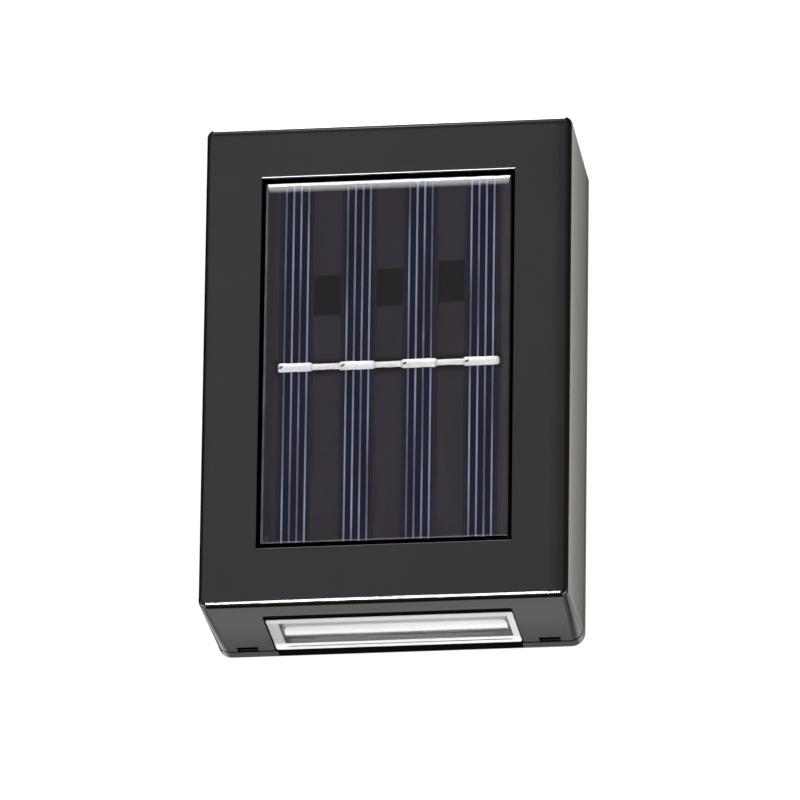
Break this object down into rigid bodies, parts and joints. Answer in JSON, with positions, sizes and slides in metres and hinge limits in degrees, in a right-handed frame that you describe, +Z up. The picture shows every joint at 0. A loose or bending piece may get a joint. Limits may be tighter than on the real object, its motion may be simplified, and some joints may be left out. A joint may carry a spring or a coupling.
{
  "type": "solar fence light",
  "caption": "Palm-sized black box-shaped solar light for a fence or wall, with a solar panel in front, clear lenses facing down and up, and keyholes and a push switch in the back.",
  "frame": {"origin": "centre of the flat back face that lies on the fence or wall", "axes": "+X to the right seen from the front, +Y into the wall (the front looks towards -Y), +Z up"},
  "size_m": [0.072, 0.0295, 0.1],
  "materials": {
    "shell_black": "satin moulded ABS, fine even grain",
    "clear_plastic": "clear polished polycarbonate",
    "clear_resin": "clear cast resin with a rounded edge",
    "silicon": "dark blue coated silicon",
    "silver_print": "fired silver print",
    "tinned_copper": "bright tinned ribbon with solder",
    "panel_board": "dark laminate with black solder mask",
    "panel_dark": "black adhesive squares",
    "foam_tape": "closed-cell foam tape",
    "seal_rubber": "black silicone rubber",
    "reflector_white": "white moulded plastic",
    "led_board": "white solder mask",
    "led": "phosphor in a white package",
    "board_green": "green solder mask",
    "component_black": "moulded component package",
    "coil_green": "lacquered axial inductor",
    "battery_sleeve": "plain shrink-sleeved cell",
    "holder_black": "moulded plastic",
    "spring_steel": "nickel-plated spring steel",
    "screw_steel": "zinc-plated steel",
    "button_black": "satin moulded cap",
    "switch_grey": "moulded switch body",
    "wire_insulation": "plastic-insulated hook-up wire"
  },
  "bodies": {
    "housing": {"front_housing": "shell_black", "back_cover": "shell_black", "keyhole_caps": "shell_black", "back_cover_gasket": "seal_rubber", "lower_lens_seal": "seal_rubber", "upper_lens_seal": "seal_rubber", "panel_encapsulant": "clear_resin", "panel_substrate": "panel_board", "solar_cells": "silicon", "cell_grid_lines": "silver_print", "tabbing_ribbon": "tinned_copper", "gap_pads": "panel_dark", "panel_tape": "foam_tape", "lower_lens": "clear_plastic", "upper_lens": "clear_plastic", "lower_reflector": "reflector_white", "upper_reflector": "reflector_white", "lower_led_board": "led_board", "upper_led_board": "led_board", "lower_leds": "led", "upper_leds": "led", "control_board": "board_green", "controller_ic": "component_black", "inductor": "coil_green", "board_passives": "component_black", "battery": "battery_sleeve", "battery_holder": "holder_black", "battery_spring": "spring_steel", "battery_contacts": "spring_steel", "cover_screws": "screw_steel", "board_screws": "screw_steel", "switch_body": "switch_grey", "solar_leads": "wire_insulation", "battery_leads": "wire_insulation", "lower_led_leads": "wire_insulation", "upper_led_leads": "wire_insulation"},
    "button": {"button_cap": "button_black", "switch_plunger": "button_black"}
  },
  "joints": [
    {"name": "button_press", "type": "slide", "parent": "housing", "child": "button", "axis": [0, -1, 0], "range_m": [0, 0.0015], "stiffness_N_per_m": 600, "springref_m": -0.0015}
  ]
}
